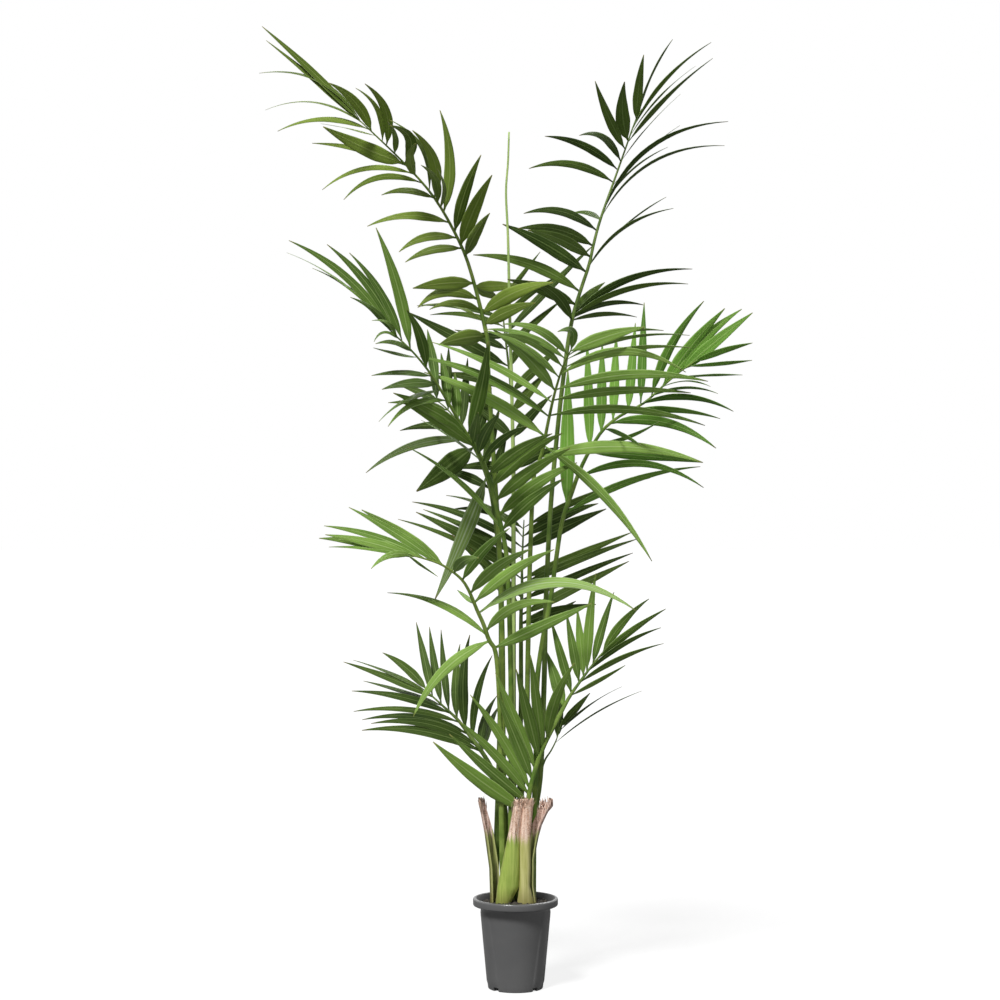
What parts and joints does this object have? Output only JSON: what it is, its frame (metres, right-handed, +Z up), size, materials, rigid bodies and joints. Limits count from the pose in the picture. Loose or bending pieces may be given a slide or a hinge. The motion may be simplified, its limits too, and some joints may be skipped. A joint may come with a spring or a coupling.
{
  "type": "potted palm",
  "caption": "Tall feather palm with arching fronds, an unopened spear leaf and cut leaf bases, standing in a soil-filled round nursery pot with a rolled rim.",
  "frame": {"origin": "centre of the pot's underside, on the surface it stands on", "axes": "+Z up along the plant's height, -Y towards the front, +X to the right seen from the front"},
  "size_m": [0.9617, 0.7466, 1.9263],
  "materials": {
    "pot_plastic": "satin",
    "potting_soil": "rough",
    "cut_base_green": "fibrous",
    "cut_base_brown": "fibrous",
    "spear_green": "satin",
    "leaf_olive": "satin",
    "leaf_deep": "satin",
    "leaf_mid": "satin",
    "leaf_fresh": "satin",
    "leaf_bright": "satin"
  },
  "bodies": {
    "root": {"pot": "pot_plastic", "soil": "potting_soil", "cut_base_front_left": "cut_base_green", "cut_base_front_right": "cut_base_green", "cut_base_left": "cut_base_brown", "cut_base_right": "cut_base_brown", "spear_leaf": "spear_green", "frond_top_left": "leaf_olive", "frond_top_right": "leaf_deep", "frond_mid_left": "leaf_mid", "frond_front_high": "leaf_fresh", "frond_mid_right": "leaf_bright", "frond_low_left": "leaf_fresh", "frond_base_left": "leaf_deep", "frond_base_right": "leaf_mid", "frond_base_back": "leaf_deep", "frond_back_mid": "leaf_deep", "frond_back_high": "leaf_deep", "frond_back_left": "leaf_deep"}
  },
  "joints": []
}
